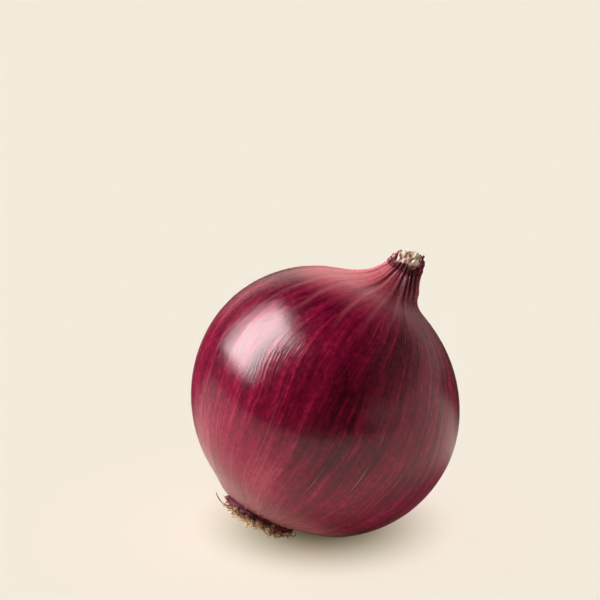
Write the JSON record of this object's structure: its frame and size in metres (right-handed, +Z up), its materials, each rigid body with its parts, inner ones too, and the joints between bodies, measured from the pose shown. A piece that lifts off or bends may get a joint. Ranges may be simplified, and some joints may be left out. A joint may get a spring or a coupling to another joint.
{
  "type": "red onion",
  "caption": "Whole red onion lying on its flank: round glossy bulb, pleated dry neck with torn skin, flat root plate with a tuft of dry roots.",
  "frame": {"origin": "centre of the small flat spot on the bulb's flank that it rests on", "axes": "+Z up from the resting surface; the neck leans 30 degrees from +Z, on a heading 25 degrees from +X towards +Y; the root plate is on the -X side, near the ground"},
  "size_m": [0.078, 0.0799, 0.0818],
  "materials": {
    "bulb_skin": "dry papery onion skin with a glossy, faintly streaked surface, crimson to deep maroon",
    "loose_skin": "dry torn skin edges, dark maroon, satin",
    "leaf_base": "dried leaf bases, pale cream with a green-brown tinge, matt",
    "root_plate": "corky brown root plate, matt and rough",
    "root": "dry fibrous roots, tan to beige, matt"
  },
  "bodies": {
    "root": {"bulb": "bulb_skin", "leaf_base_01": "leaf_base", "leaf_base_02": "leaf_base", "leaf_base_03": "leaf_base", "leaf_base_04": "leaf_base", "neck_flake_01": "loose_skin", "neck_flake_02": "loose_skin", "neck_flake_03": "loose_skin", "neck_flake_04": "loose_skin", "neck_flake_05": "loose_skin", "neck_flake_06": "loose_skin", "neck_flake_07": "loose_skin", "root_plate": "root_plate", "root_skin_01": "loose_skin", "root_skin_02": "loose_skin", "root_skin_03": "loose_skin", "root_skin_04": "loose_skin", "root_skin_05": "loose_skin", "root_skin_06": "loose_skin", "root_skin_07": "loose_skin", "root_01": "root", "root_02": "root", "root_03": "root", "root_04": "root", "root_05": "root", "root_06": "root", "root_07": "root", "root_08": "root", "root_09": "root", "root_10": "root", "root_11": "root", "root_12": "root", "root_13": "root", "root_14": "root", "root_15": "root", "root_16": "root", "root_17": "root", "root_18": "root", "root_19": "root", "root_20": "root", "root_21": "root", "root_22": "root", "root_23": "root", "root_24": "root", "root_25": "root", "root_26": "root", "root_stray": "root"}
  },
  "joints": []
}
